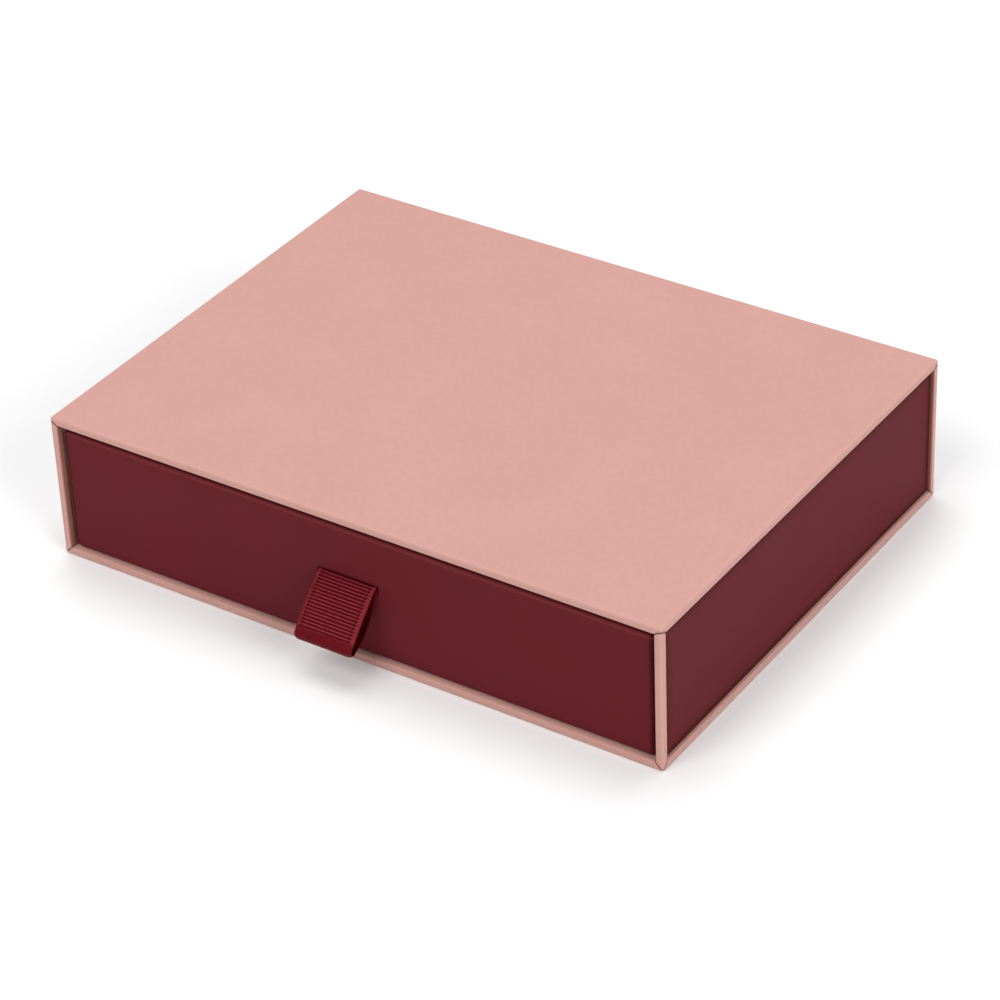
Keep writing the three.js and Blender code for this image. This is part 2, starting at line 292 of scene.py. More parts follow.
class Sheet:
    """A sheet of paper, kept as pairs of points on its two faces."""

    def __init__(self):
        self.numbers = {}
        self.outer = []
        self.inner = []
        self.shades = []
        self.faces = []

    def point(self, outer, inner, shade=0):
        """The number of a pair of points. Pairs in the same place are one pair.
        shade is 1 for the darkest painted shade, in a seam, and -1 for the brightest painted highlight."""
        key = tuple(round(value / MERGE_DISTANCE) for value in (*outer, *inner))
        if key not in self.numbers:
            self.numbers[key] = len(self.outer)
            self.outer.append(outer)
            self.inner.append(inner)
            self.shades.append(shade)
        return self.numbers[key]

    def face(self, corners):
        """Adds a face, without the corners that fell together."""
        kept = [number for number, after in zip(corners, corners[1:] + corners[:1]) if number != after]
        if len(set(kept)) > 2:
            self.faces.append(kept)

    def grid(self, rows, skip=None):
        """Joins rows of points with faces, apart from the places that skip names."""
        for row, (first, second) in enumerate(zip(rows, rows[1:])):
            for column in range(len(first) - 1):
                if skip is None or not skip(row, column):
                    self.face([first[column], first[column + 1], second[column + 1], second[column]])

    def build(self, name, material):
        """The closed mesh of the sheet: its two faces and the cut edge between them."""
        count = len(self.outer)
        edges = {edge for face in self.faces for edge in zip(face, face[1:] + face[:1])}
        rim = [edge for edge in edges if edge[::-1] not in edges]
        faces = list(self.faces)
        faces += [[number + count for number in reversed(face)] for face in self.faces]
        faces += [[b, a, a + count, b + count] for a, b in sorted(rim)]
        piece = mesh_object(name, self.outer + self.inner, faces, material)
        add_point_values(piece, "shade", self.shades * 2)
        return piece


def mesh_object(name, points, faces, material):
    """A smooth-shaded object with its face directions made consistent."""
    mesh = bpy.data.meshes.new(name)
    mesh.from_pydata([tuple(point) for point in points], [], faces)
    form = bmesh.new()
    form.from_mesh(mesh)
    bmesh.ops.recalc_face_normals(form, faces=form.faces)
    form.to_mesh(mesh)
    form.free()
    mesh.shade_smooth()
    mesh.set_sharp_from_angle(angle=SHARP_ANGLE)
    mesh.materials.append(material)
    piece = bpy.data.objects.new(name, mesh)
    bpy.context.scene.collection.objects.link(piece)
    return piece


def add_point_values(piece, name, values):
    """Keeps one number for each point of a mesh, for its material to read."""
    attribute = piece.data.attributes.new(name, "FLOAT", "POINT")
    attribute.data.foreach_set("value", values)


def quarter_turned(vector, times):
    """The vector turned round the cap's middle by so many quarter turns."""
    for _ in range(times):
        vector = Vector((-vector.y, vector.x, vector.z))
    return vector


class RoundBox:
    """A box with rounded edges, in a frame of its own: its cap lies on z = 0, and its walls go down."""

    def __init__(self, half_a, half_b, depth, radius):
        self.halves = (half_a, half_b)
        self.depth = depth
        self.radius = radius

    def skin(self, point, under=0):
        """The place on the rounded box, or under its surface, of a point on the box with sharp edges."""
        half_a, half_b = self.halves
        core = Vector((
            max(-half_a + self.radius, min(half_a - self.radius, point.x)),
            max(-half_b + self.radius, min(half_b - self.radius, point.y)),
            max(-self.depth + self.radius, min(-self.radius, point.z)),
        ))
        return core + (point - core).normalized() * (self.radius - under)

    def side_point(self, side, along, inset, depth):
        """A point beside one of the four sides, which go round from the -b side to the +a side and on."""
        across = self.halves[1 - side % 2]
        place = Vector((along, inset - across, -depth))
        return quarter_turned(place, side)


class Ring:
    """One row of a wrap, at a distance in from the side and a depth under the cap.
    normal is (inwards, down) where the row lies off the box's skin. The row stops short of the corner
    by cut, or where cut isn't given, by inset. shade is the painted shade there; below 0 it is a painted
    highlight."""

    def __init__(self, inset, depth, normal=None, cut=None, shade=0):
        self.inset = inset
        self.depth = depth
        self.normal = normal
        self.cut = inset if cut is None else cut
        self.shade = shade

    def pair(self, box, side, along, under, thickness):
        """The paper's outer and inner points at a place along one side."""
        point = box.side_point(side, along, self.inset, self.depth)
        if self.normal is None:
            return box.skin(point, under), box.skin(point, thickness)
        inwards, down = self.normal
        normal = quarter_turned(Vector((0, inwards, -down)), side)
        return point - normal * under, point - normal * thickness


def wrap_cap(box, rings, ends, middles, place, cap=True, dip=None, skip=None, thickness=PAPER):
    """A sheet wrapped over a cap and down its four sides. ends are the columns' distances from the two ends
    of a side, and middles the columns between them for each side. place moves a point from the box's frame
    to the model's. dip(side, along, depth) is how far the outer face is pressed in, and
    skip(side, row, column) is true where the sheet has a hole."""
    sheet = Sheet()
    rows = [[] for _ in range(4)]
    first_ring = []
    for ring in rings:
        for side in range(4):
            half = box.halves[side % 2] - ring.cut
            alongs = [end - half for end in ends] + middles[side] + [half - end for end in reversed(ends)]
            row = []
            for along in alongs:
                under = 0 if dip is None else dip(side, along, ring.depth)
                outer, inner = ring.pair(box, side, along, under, thickness)
                # Paper pressed in gets darker in proportion: at a seam partly a real dark joint and partly
                # painted shade, round the ribbon's slot painted shade
                shade = ring.shade + max(0, min(1, under / SEAM_DIP))
                row.append(sheet.point(place(outer), place(inner), shade))
            rows[side].append(row)
            if ring is rings[0]:
                first_ring += row[:-1]
    for side in range(4):
        chosen = None if skip is None else lambda row, column, side=side: skip(side, row, column)
        sheet.grid(rows[side], chosen)
    if cap:
        sheet.face(first_ring[::-1])
    return sheet


# Materials

# Noises: waves per metre, how many finer layers they have, and how they are stretched
PAPER_CLOUDS = (38, 4)
PAPER_FIBRES = (900, 2, (1, 0.6, 1))
PAPER_GRAIN = (2600, 2)
BOARD_WAVES = (22, 1)
BOARD_FLECKS = (1500, 6)
KRAFT_FIBRES = (700, 5, (1, 1, 0.25))
RIBBON_THREADS = (2400, 3, (0.35, 1, 1))
FLOOR_CLOUDS = (3, 2)

# Reliefs: how strong and how deep they are
WAVE_RELIEF = (0.25, 0.14 * MM)
GRAIN_RELIEF = (0.12, 0.04 * MM)
FLECK_RELIEF = (0.5, 0.08 * MM)
FIBRE_RELIEF = (0.3, 0.05 * MM)
THREAD_RELIEF = (0.35, 0.05 * MM)


def grey(level):
    """A colour without any hue."""
    return (level, level, level)


# Tones: colours at places on a scale from 0 to 1
FIBRE_TONES = ((0.35, grey(0.975)), (0.65, grey(1)))
BOARD_TONES = ((0.3, (0.2, 0.18, 0.155)), (0.5, (0.33, 0.3, 0.26)), (0.72, (0.46, 0.43, 0.38)))
KRAFT_TONES = ((0.35, (0.36, 0.19, 0.08)), (0.65, (0.5, 0.29, 0.13)))
# The ribbon's colour by the weave's height: painted shade in the grooves and a painted highlight on the
# ribs' tops
RIBBON_SHADE_AND_HIGHLIGHT_TONES = ((0, (0.05, 0.0004, 0.0018)), (0.55, (0.125, 0.0035, 0.008)), (1, (0.29, 0.028, 0.042)))
THREAD_TONES = ((0.3, grey(0.72)), (0.7, grey(1.1)))
FLOOR_TONES = ((0.3, grey(0.895)), (0.7, grey(0.91)))
# What a paper's colour is multiplied by: painted highlight at 0, plain at 0.5, and painted shade from there
# to a seam
SHADE_TONES = (
    (0, (1.55, 2.5, 2.1)),
    (0.5, grey(1)),
    (0.75, (0.52, 0.38, 0.33)),
    (0.95, (0.13, 0.045, 0.035)),
)

# Where the clouds in a paper's colour are darkest and lightest
CLOUD_ENDS = (0.3, 0.7)

# The colour sockets of a mix node, which have the same names as its sockets for numbers
MIX_FIRST = 6
MIX_SECOND = 7
MIX_RESULT = 2


class Finish:
    """A procedural material, put together from nodes."""

    def __init__(self, name):
        self.material = bpy.data.materials.new(name)
        self.material.use_nodes = True
        self.nodes = self.material.node_tree.nodes
        self.links = self.material.node_tree.links
        self.shader = self.nodes["Principled BSDF"]

    def give(self, socket, output):
        """Leads a node's output into a socket of the shader."""
        self.links.new(output, self.shader.inputs[socket])

    def fix(self, socket, value):
        """Sets a socket of the shader to one value all over."""
        self.shader.inputs[socket].default_value = value

    def noise_field(self, scale, detail, stretch=(1, 1, 1)):
        """A noise over the object's own coordinates."""
        place = self.nodes.new("ShaderNodeTexCoord")
        mapping = self.nodes.new("ShaderNodeMapping")
        mapping.inputs["Scale"].default_value = stretch
        field = self.nodes.new("ShaderNodeTexNoise")
        field.inputs["Scale"].default_value = scale
        field.inputs["Detail"].default_value = detail
        self.links.new(place.outputs["Object"], mapping.inputs["Vector"])
        self.links.new(mapping.outputs["Vector"], field.inputs["Vector"])
        return field.outputs["Fac"]

    def point_value(self, name):
        """A number that the mesh keeps for each of its points."""
        attribute = self.nodes.new("ShaderNodeAttribute")
        attribute.attribute_name = name
        return attribute.outputs["Fac"]

    def remap(self, value, source, target):
        """The value on a second scale, from its place on a first one. Both are (low, high)."""
        scale = self.nodes.new("ShaderNodeMapRange")
        scale.inputs["From Min"].default_value, scale.inputs["From Max"].default_value = source
        scale.inputs["To Min"].default_value, scale.inputs["To Max"].default_value = target
        self.links.new(value, scale.inputs["Value"])
        return scale.outputs["Result"]

    def tones(self, value, stops):
        """Colours that a value picks, from (place, colour) stops."""
        colours = self.nodes.new("ShaderNodeValToRGB")
        elements = colours.color_ramp.elements
        while len(elements) < len(stops):
            elements.new(0)
        for element, (position, colour) in zip(elements, stops):
            element.position = position
            element.color = (*colour, 1)
        self.links.new(value, colours.inputs["Fac"])
        return colours.outputs["Color"]

    def multiply(self, first, second):
        """One colour times another."""
        mix = self.nodes.new("ShaderNodeMix")
        mix.data_type = "RGBA"
        mix.blend_type = "MULTIPLY"
        mix.inputs["Factor"].default_value = 1
        self.links.new(first, mix.inputs[MIX_FIRST])
        self.links.new(second, mix.inputs[MIX_SECOND])
        return mix.outputs[MIX_RESULT]

    def bump(self, height, relief, under=None):
        """Raises the surface by a height field. It goes on top of another bump where one is given."""
        strength, distance = relief
        node = self.nodes.new("ShaderNodeBump")
        node.inputs["Strength"].default_value = strength
        node.inputs["Distance"].default_value = distance
        self.links.new(height, node.inputs["Height"])
        if under is not None:
            self.links.new(under, node.inputs["Normal"])
        self.give("Normal", node.outputs["Normal"])
        return node.outputs["Normal"]


def wrap_paper_material(name, colour, cloud_share, roughness, gloss):
    """Laminated wrapping paper: faint clouds in its colour, a fine grain, and a board that isn't quite flat.
    Its colour takes painted shade under the lips, at the drawer's corners and round the walls, darker seams
    that are partly a real joint and partly painted shade, and a painted highlight on the drawer's rim."""
    finish = Finish(name)
    clouds = finish.noise_field(*PAPER_CLOUDS)
    shares = (1 - cloud_share, 1 + cloud_share)
    cloud_tones = [(end, [channel * share for channel in colour]) for end, share in zip(CLOUD_ENDS, shares)]
    tint = finish.tones(clouds, cloud_tones)
    flecks = finish.tones(finish.noise_field(*PAPER_FIBRES), FIBRE_TONES)
    paper = finish.multiply(tint, flecks)
    # The painted shade and painted highlight kept on the points multiply the paper's colour
    shade = finish.remap(finish.point_value("shade"), (-1, 1), (0, 1))
    finish.give("Base Color", finish.multiply(paper, finish.tones(shade, SHADE_TONES)))
    finish.give("Roughness", finish.remap(clouds, (0, 1), roughness))
    finish.fix("Specular IOR Level", gloss)
    waves = finish.bump(finish.noise_field(*BOARD_WAVES), WAVE_RELIEF)
    finish.bump(finish.noise_field(*PAPER_GRAIN), GRAIN_RELIEF, waves)
    return finish.material


def greyboard_material():
    """Pressed grey board, with flecks of the waste paper that it is made of."""
    finish = Finish("greyboard")
    flecks = finish.noise_field(*BOARD_FLECKS)
    finish.give("Base Color", finish.tones(flecks, BOARD_TONES))
    finish.fix("Roughness", 0.95)
    finish.bump(flecks, FLECK_RELIEF)
    return finish.material


def kraft_material():
    """Brown kraft tape with long fibres."""
    finish = Finish("kraft_tape")
    fibres = finish.noise_field(*KRAFT_FIBRES)
    finish.give("Base Color", finish.tones(fibres, KRAFT_TONES))
    finish.fix("Roughness", 0.75)
    finish.bump(fibres, FIBRE_RELIEF)
    return finish.material


def ribbon_material():
    """Woven polyester: painted shade between the ribs and a painted highlight on them, with a soft shine and
    fine threads along the ribs.
    """
    finish = Finish("grosgrain")
    tint = finish.tones(finish.point_value("rib_height"), RIBBON_SHADE_AND_HIGHLIGHT_TONES)
    threads = finish.noise_field(*RIBBON_THREADS)
    finish.give("Base Color", finish.multiply(tint, finish.tones(threads, THREAD_TONES)))
    finish.fix("Roughness", 0.45)
    finish.fix("Specular IOR Level", 0.07)
    finish.bump(threads, THREAD_RELIEF)
    return finish.material


def floor_material():
    """The white ground of the picture."""
    finish = Finish("floor")
    finish.give("Base Color", finish.tones(finish.noise_field(*FLOOR_CLOUDS), FLOOR_TONES))
    finish.fix("Roughness", 0.9)
    finish.fix("Specular IOR Level", 0.1)
    return finish.material


PINK = wrap_paper_material(
    "pink_paper", colour=(0.593, 0.323, 0.286), cloud_share=0.012, roughness=(0.5, 0.62), gloss=0.13
)
BURGUNDY = wrap_paper_material(
    "burgundy_paper", colour=(0.124, 0.0118, 0.0158), cloud_share=0.03, roughness=(0.55, 0.67), gloss=0.08
)
GREYBOARD = greyboard_material()
KRAFT = kraft_material()
GROSGRAIN = ribbon_material()


# The sleeve

def seam_depth(inset, corner_drop):
    """How far under the sheet's face its seam with a post lies, at a distance in from the post's edge."""
    return (inset ** SEAM_POWER + corner_drop ** SEAM_POWER) ** (1 / SEAM_POWER)


def seam_inset(depth, corner_drop):
    """How far in from the post's edge the seam lies, at a depth under the sheet's face."""
    return max(0, depth ** SEAM_POWER - corner_drop ** SEAM_POWER) ** (1 / SEAM_POWER)


def seam_share(distance):
    """How strongly a seam at some distance presses the paper in and darkens it: from 1 on it to 0 off it."""
    return max(0, 1 - max(0, distance) / SEAM_REACH) ** SEAM_FALLOFF


def board_rings(edge, corner_drop, lip_shade):
    """The rows of a board's sheet: its face, its narrow faces, their inner lip and the paper turned in."""
    rings = [Ring(inset, 0) for inset in (SLEEVE_TURN_IN * 2, SLEEVE_TURN_IN, SLEEVE_RADIUS * 3)]
    rings += [Ring(inset, 0) for inset in (SLEEVE_RADIUS * NEAR_ROW_SHARE, *reversed(edge[1:]))]
    flat = FRAME_WIDTH - LIP_RADIUS - SLEEVE_RADIUS
    drops = edge + [SLEEVE_RADIUS + flat * share for share in SKIRT_SHARES]
    rings += [Ring(0, drop, cut=seam_inset(drop + MITRE_GAP, corner_drop)) for drop in drops]
    # The lip and the paper turned in get painted shade, up to lip_shade, fading out along the turn-in
    for turn in quarter_arc(LIP_STEPS):
        depth = FRAME_WIDTH - LIP_RADIUS * (1 - math.sin(turn))
        inset = LIP_RADIUS * (1 - math.cos(turn))
        normal = (-math.cos(turn), math.sin(turn))
        cut = seam_inset(depth + MITRE_GAP, corner_drop)
        rings.append(Ring(inset, depth, normal, cut, lip_shade * math.sin(turn)))
    for inset in (LIP_RADIUS * LIP_ROW_SHARE, FRAME_WIDTH, FRAME_WIDTH * 2, SLEEVE_TURN_IN):
        cut = max(inset, FRAME_WIDTH) + TURN_IN_GAP
        shade = lip_shade * (1 - smooth_step(inset, FRAME_WIDTH, SLEEVE_TURN_IN))
        rings.append(Ring(inset, FRAME_WIDTH, (0, 1), cut, shade))
    return rings


def wrap_board(name, replaced, upside_down):
    """The pink sheet over one of the sleeve's boards."""
    half_a, half_b, half_height = SLEEVE_HALVES
    box = RoundBox(half_a, half_b, 2 * half_height, SLEEVE_RADIUS)
    edge = arc_insets(SLEEVE_RADIUS, SLEEVE_STEPS)
    corner_drop = 0 if upside_down else TOP_SEAM_DROP
    rings = board_rings(edge, corner_drop, BASE_LIP_SHADE if upside_down else LID_LIP_SHADE)
    ends = [*edge, SLEEVE_RADIUS * 2, SLEEVE_TURN_IN]
    sign = -1 if upside_down else 1
    level = SLEEVE_LOW.z if upside_down else SLEEVE_HIGH.z

    def place(point):
        return Vector((point.x + SLEEVE_MIDDLE.x, point.y + SLEEVE_MIDDLE.y, level + sign * point.z))

    def pressed(side, along, depth):
        inset = max(0, box.halves[side % 2] - abs(along))
        return SEAM_DIP * seam_share(seam_depth(inset, corner_drop) - depth)

    sheet = wrap_cap(box, rings, ends, [[0]] * 4, place, dip=pressed)
    piece = sheet.build(name, PINK)
    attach(piece, "sleeve")
    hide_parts(replaced)


def post_profile(edge):
    """The section of the strip round a post: how far in from the box's side and its end each point lies,
    and its normal, counted the same way, where it lies off the box's skin."""
    inner_face = [(FRAME_WIDTH, FRAME_WIDTH, (1, 0)), (FRAME_WIDTH, WALL_RECESS, (1, 0))]
    lip = [
        (
            FRAME_WIDTH - LIP_RADIUS * (1 - math.cos(turn)),
            LIP_RADIUS * (1 - math.sin(turn)),
            (math.cos(turn), -math.sin(turn)),
        )
        for turn in quarter_arc(LIP_STEPS)
    ]
    flat = [(FRAME_WIDTH - LIP_RADIUS * LIP_ROW_SHARE, 0, None), (SLEEVE_RADIUS * POST_ROW_SHARE, 0, None)]
    round_edge = [(inset, 0, None) for inset in reversed(edge[1:])]
    front = inner_face + lip + flat + round_edge
    mirrored = [(b, a, normal and (normal[1], normal[0])) for a, b, normal in reversed(front)]
    return front + [(0, 0, None)] + mirrored


def wrap_post(corner, sign_x, sign_y):
    """The pink strip round a corner post, whose ends meet the sheets over the boards in a seam."""
    half_x, half_y, half_height = SLEEVE_HALVES
    box = RoundBox(half_x, half_y, 2 * half_height, SLEEVE_RADIUS)
    edge = arc_insets(SLEEVE_RADIUS, SLEEVE_STEPS)
    ends = [*edge, SLEEVE_RADIUS * 2, SLEEVE_TURN_IN]

    def place(point):
        return Vector((
            SLEEVE_MIDDLE.x + sign_x * point.x,
            SLEEVE_MIDDLE.y + sign_y * point.y,
            SLEEVE_HIGH.z + point.z,
        ))

    sheet = Sheet()
    rows = []
    for a, b, normal in post_profile(edge):
        low = seam_depth(max(a, b), 0) + MITRE_GAP - half_height
        high = half_height - seam_depth(max(a, b), TOP_SEAM_DROP) - MITRE_GAP
        heights = [(low + end, end) for end in ends] + [(0, half_height)]
        heights += [(high - end, end) for end in reversed(ends)]
        # Painted shade on the lip rows, strongest where they face inwards; the seams darken too, partly a
        # real dark joint and partly painted shade
        painted_lip_shade = 0 if normal is None else POST_LIP_SHADE * max(normal)
        row = []
        for height, end in heights:
            share = seam_share(end)
            under = SEAM_DIP * share
            point = Vector((half_x - a, half_y - b, height - half_height))
            if normal is None:
                outer = box.skin(point, under)
                inner = box.skin(point, PAPER)
            else:
                outwards = Vector((-normal[0], -normal[1], 0))
                outer = point - outwards * under
                inner = point - outwards * PAPER
            row.append(sheet.point(place(outer), place(inner), max(share, painted_lip_shade)))
        rows.append(row)
    sheet.grid(rows)
    piece = sheet.build(f"{corner}_post_wrap", PINK)
    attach(piece, "sleeve")
    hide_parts(f"sleeve_{corner}_post_paper")


def wrap_wall(side, turn):
    """A burgundy wall panel, with its paper pressed round the board's front edges."""
    along_half = SLEEVE_HALVES[1 - turn % 2] - FRAME_WIDTH - WALL_GAP
    up_half = SLEEVE_HALVES[2] - FRAME_WIDTH - WALL_GAP
    out_half = SLEEVE_HALVES[turn % 2] - WALL_RECESS
    box = RoundBox(along_half, up_half, FRAME_WIDTH * 2, WALL_RADIUS)
    edge = arc_insets(WALL_RADIUS, WALL_STEPS)
    # Painted shade next to the frame, darkest on the rounded edge and the sides that go down into the gap
    darkest = WALL_SHADES[-1][1]
    rings = [Ring(SLEEVE_TURN_IN, 0)] + [Ring(inset, 0, shade=shade) for inset, shade in WALL_SHADES]
    rings += [Ring(inset, 0, shade=darkest) for inset in (WALL_RADIUS * LIP_ROW_SHARE, *reversed(edge))]
    depths = (*edge[1:], FRAME_WIDTH - WALL_RECESS - PAPER)
    rings += [Ring(0, depth, cut=0, shade=darkest) for depth in depths]
    ends = [*edge, WALL_RADIUS * 2, FRAME_WIDTH]
    upright = Matrix.Rotation(math.pi / 2 * turn, 4, "Z") @ Matrix(
        ((0, 0, 1, out_half), (1, 0, 0, 0), (0, 1, 0, 0), (0, 0, 0, 1))
    )

    def place(point):
        return upright @ point + SLEEVE_MIDDLE

    sheet = wrap_cap(box, rings, ends, [[0]] * 4, place, thickness=PAPER - WALL_GAP)
    piece = sheet.build(f"{side}_wall_wrap", BURGUNDY)
    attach(piece, "sleeve")
    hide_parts(f"sleeve_{side}_wall_paper")


# The drawer

def place_in_drawer(point):
    """Moves a point from the frame of the drawer's sheets, whose cap is its underside, to the model's."""
    return Vector((DRAWER_MIDDLE.x + point.x, DRAWER_MIDDLE.y - point.y, DRAWER_LOW.z - point.z))


def slot_press(side, along, depth):
    """The paper is pressed in a little round the ribbon's slot, and wrap_cap paints shade there to match."""
    if side != FRONT_SIDE:
        return 0
    half_width = RIBBON_WIDTH / 2 + SLOT_END_GAP
    beside = max(0, abs(along) - half_width)
    above = max(0, abs(depth - (SLOT_CENTRE - DRAWER_LOW.z)) - SLOT_HEIGHT / 2)
    distance = math.hypot(beside, above)
    return SLOT_PRESS * max(0, 1 - distance / SLOT_PRESS_REACH) ** 2


def turn_in_slot(sheet, box, half_slot, slot_low, slot_high):
    """The paper goes on into the slot and covers the cut edges of the board."""
    corners = [
        (half_slot, slot_low), (0, slot_low), (-half_slot, slot_low),
        (-half_slot, slot_high), (0, slot_high), (half_slot, slot_high), (half_slot, slot_low),
    ]
    middle = (slot_low + slot_high) / 2
    rows = []
    for shrink, depth, hidden_depth in SLOT_FOLD:
        row = []
        for along, level in corners:
            side_point = box.side_point(FRONT_SIDE, along, 0, level)
            inner = side_point - Vector((0, hidden_depth, 0))
            if shrink:
                narrower = along - math.copysign(shrink, along) if along else 0
                lower = level + math.copysign(shrink, middle - level)
                outer = box.side_point(FRONT_SIDE, narrower, depth, lower)
            else:
                outer = side_point - Vector((0, depth, 0))
            row.append(sheet.point(place_in_drawer(outer), place_in_drawer(inner)))
        rows.append(row[::-1])
    sheet.grid(rows)


def shade_corners(sheet):
    """Paints shade on the paper where it turns round the drawer's upright corners."""
    for number, point in enumerate(sheet.outer):
        beside = min(point.x - DRAWER_LOW.x, DRAWER_HIGH.x - point.x)
        behind = min(point.y - DRAWER_LOW.y, DRAWER_HIGH.y - point.y)
        share = 1 - max(0, min(1, max(beside, behind) / DRAWER_RADIUS))
        sheet.shades[number] += CORNER_SHADE * min(1, share / CORNER_SHARE)


def wall_levels(edge, slot_low, slot_high, gaps):
    """How far up from the drawer's underside the rows on its walls lie, closest round the slot."""
    levels = [*edge[1:], DRAWER_RADIUS * NEAR_ROW_SHARE, DRAWER_TURN_IN]
    levels += [slot_low - gap for gap in gaps] + [slot_low, slot_high]
    levels += [slot_high + gap for gap in reversed(gaps)]
    levels += [DRAWER_HEIGHT - DRAWER_TURN_IN, DRAWER_HEIGHT - DRAWER_RADIUS * NEAR_ROW_SHARE]
    levels += [DRAWER_HEIGHT - inset for inset in reversed(edge)]
    return levels


def rim_rings(edge):
    """The rows over the drawer's rim and down on its inside."""
    rings = [Ring(inset, DRAWER_HEIGHT) for inset in edge[1:-1]]
    for turn in quarter_arc(RIM_STEPS):
        inset = DRAWER_LINED - RIM_RADIUS * (1 - math.sin(turn))
        depth = DRAWER_HEIGHT - RIM_RADIUS * (1 - math.cos(turn))
        rings.append(Ring(inset, depth, (math.sin(turn), math.cos(turn)), cut=inset + TURN_IN_GAP))
    for depth in (RIM_RADIUS * 2, DRAWER_RADIUS * 2, DRAWER_TURN_IN / 2, DRAWER_TURN_IN):
        rings.append(Ring(DRAWER_LINED, DRAWER_HEIGHT - depth, (1, 0), cut=DRAWER_LINED + TURN_IN_GAP))
    return rings


def wrap_drawer():
    """The burgundy sheet under the drawer, up its walls, over the rim and turned in, with its slot."""
    half_a, half_b, _ = DRAWER_HALVES
    box = RoundBox(half_a, half_b, DRAWER_HEIGHT, DRAWER_RADIUS)
    edge = arc_insets(DRAWER_RADIUS, DRAWER_STEPS)
    slot_low = SLOT_CENTRE - DRAWER_LOW.z - SLOT_HEIGHT / 2
    slot_high = slot_low + SLOT_HEIGHT
    gaps = [PAPER * count for count in SLOT_ROWS]
    rings = [Ring(inset, 0) for inset in (DRAWER_TURN_IN * 2, DRAWER_TURN_IN, DRAWER_RADIUS * 2)]
    rings += [Ring(inset, 0) for inset in (DRAWER_RADIUS * NEAR_ROW_SHARE, *reversed(edge))]
    levels = wall_levels(edge, slot_low, slot_high, gaps)
    slot_row = len(rings) + levels.index(slot_low)
    # A painted highlight along the rim's rounded edge, on the outer rows just under its top
    highlit_levels = [DRAWER_HEIGHT - inset for inset in edge[1:-1]]
    rings += [Ring(0, level, cut=0, shade=RIM_PAINTED_HIGHLIGHT if level in highlit_levels else 0) for level in levels]
    rings += rim_rings(edge)
    ends = [*edge, DRAWER_RADIUS * NEAR_ROW_SHARE, DRAWER_RADIUS * 2, DRAWER_TURN_IN]
    half_slot = RIBBON_WIDTH / 2 + SLOT_END_GAP
    slot_columns = [-half_slot - gap for gap in gaps] + [-half_slot, 0, half_slot]
    slot_columns += [half_slot + gap for gap in reversed(gaps)]
    left = len(ends) + slot_columns.index(-half_slot)

    def skip(side, row, column):
        return side == FRONT_SIDE and row == slot_row and column in (left, left + 1)

    middles = [[0], [0], slot_columns, [0]]
    sheet = wrap_cap(box, rings, ends, middles, place_in_drawer, dip=slot_press, skip=skip)
    turn_in_slot(sheet, box, half_slot, slot_low, slot_high)
    shade_corners(sheet)
    piece = sheet.build("drawer_wrap", BURGUNDY)
    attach(piece, "drawer")
    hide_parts("drawer_outer_paper")


def tail_bulge(side, along, depth):
    """How far the lining stands out over the ribbon's tails, with soft shoulders."""
    if side != FRONT_SIDE:
        return 0
    top = SLOT_CENTRE + SLOT_HEIGHT / 2 - DRAWER_LOW.z
    bottom = top - SLOT_HEIGHT - TAIL_LENGTH
    beside = max(0, abs(along) - RIBBON_WIDTH / 2)
    above = max(0, depth - top, bottom - depth)
    return BULGE_DEPTH * (1 - smooth_step(math.hypot(beside, above), 0, BULGE_SHOULDER))


def lining_rings():
    """The rows of the drawer's wall lining, from the edge of its foot up to its top."""
    rings = [Ring(DRAWER_WALL + LINING_FOOT, DRAWER_LINED, (0, 1))]
    for turn in quarter_arc(RIM_STEPS):
        inset = DRAWER_LINED + RIM_RADIUS * (1 - math.sin(turn))
        depth = DRAWER_LINED + RIM_RADIUS * (1 - math.cos(turn))
        rings.append(Ring(inset, depth, (math.sin(turn), math.cos(turn))))
    bottom = DRAWER_LINED + RIM_RADIUS
    top = DRAWER_HEIGHT - DRAWER_TURN_IN - LINING_SEAM
    for step in range(1, BULGE_ROWS + 1):
        # The lining's top row gets painted shade where it meets the paper turned in
        shade = LINING_EDGE_SHADE if step == BULGE_ROWS else 0
        rings.append(Ring(DRAWER_LINED, bottom + (top - bottom) * step / BULGE_ROWS, (1, 0), shade=shade))
    return rings


def line_drawer():
    """The lining of the drawer's walls, with its foot on the floor and its bulge over the ribbon's tails."""
    half_a, half_b, _ = DRAWER_HALVES
    box = RoundBox(half_a, half_b, DRAWER_HEIGHT, DRAWER_RADIUS)
    reach = RIBBON_WIDTH / 2 + BULGE_SHOULDER
    columns = [reach * step / BULGE_COLUMNS for step in range(-BULGE_COLUMNS, BULGE_COLUMNS + 1)]
    ends = [0, RIM_RADIUS, DRAWER_RADIUS * 2, DRAWER_TURN_IN]

    def raised(side, along, depth):
        return -tail_bulge(side, along, depth) if depth > DRAWER_LINED + RIM_RADIUS else 0

    middles = [[0], [0], columns, [0]]
    sheet = wrap_cap(box, lining_rings(), ends, middles, place_in_drawer, cap=False, dip=raised)
    for number, (outer, inner) in enumerate(zip(sheet.outer, sheet.inner)):
        push = outer - inner
        if push.length > PAPER + MERGE_DISTANCE:
            sheet.inner[number] = outer - push.normalized() * PAPER
    piece = sheet.build("drawer_wall_lining_sheet", BURGUNDY)
    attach(piece, "drawer")
    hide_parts("drawer_wall_lining")


# The ribbon

def tail_path(height, layers_under):
    """A tail from its end behind the drawer's front up to the slot's mouth."""
    lie = -DRAWER_WALL - layers_under * (RIBBON_THICKNESS + GLUE_LINE) - RIBBON_THICKNESS / 2
    radius = height + SLOT_HEIGHT / 2 - layers_under * LEG_SPACING / 2
    path = [Vector((lie, -SLOT_HEIGHT / 2 - TAIL_LENGTH + GLUE_LINE)), Vector((lie, height - radius))]
    for turn in quarter_arc(TAIL_STEPS)[1:]:
        path.append(Vector((lie + radius * (1 - math.cos(turn)), height - radius * (1 - math.sin(turn)))))
    path.append(Vector((0, height)))
    return path


